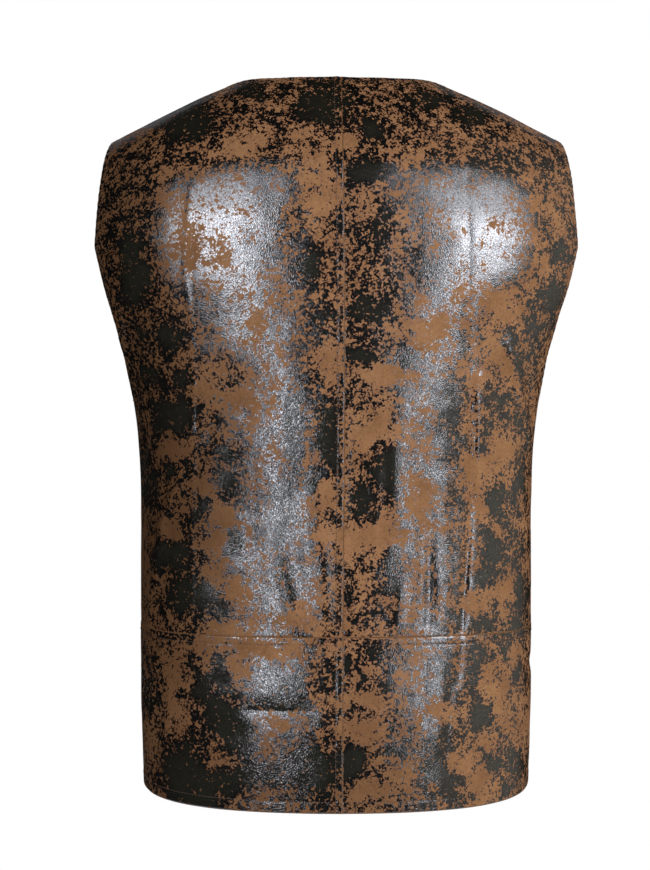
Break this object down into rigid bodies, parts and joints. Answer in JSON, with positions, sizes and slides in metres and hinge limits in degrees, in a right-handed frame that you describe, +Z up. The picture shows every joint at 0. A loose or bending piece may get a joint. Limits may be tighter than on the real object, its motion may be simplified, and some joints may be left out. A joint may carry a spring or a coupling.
{
  "type": "worn leather vest",
  "caption": "Sleeveless leather vest in its worn, hollow form, with a panelled back, waist seam, V neck and buttoned front.",
  "frame": {"origin": "centre of the neck opening, level with the neck points where the vest hangs on the wearer's shoulders", "axes": "+Z up along the worn vest, +Y the way the wearer faces, so the back panel faces -Y, +X towards the wearer's right arm"},
  "size_m": [0.4474, 0.2616, 0.6744],
  "materials": {
    "leather": "distressed tan, mottled with a worn glossy black coat",
    "button": "satin black"
  },
  "bodies": {
    "root": {"back_left": "leather", "back_right": "leather", "back_band_left": "leather", "back_band_right": "leather", "front_left": "leather", "front_right": "leather", "button_1": "button", "button_2": "button", "button_3": "button", "button_4": "button"}
  },
  "joints": []
}
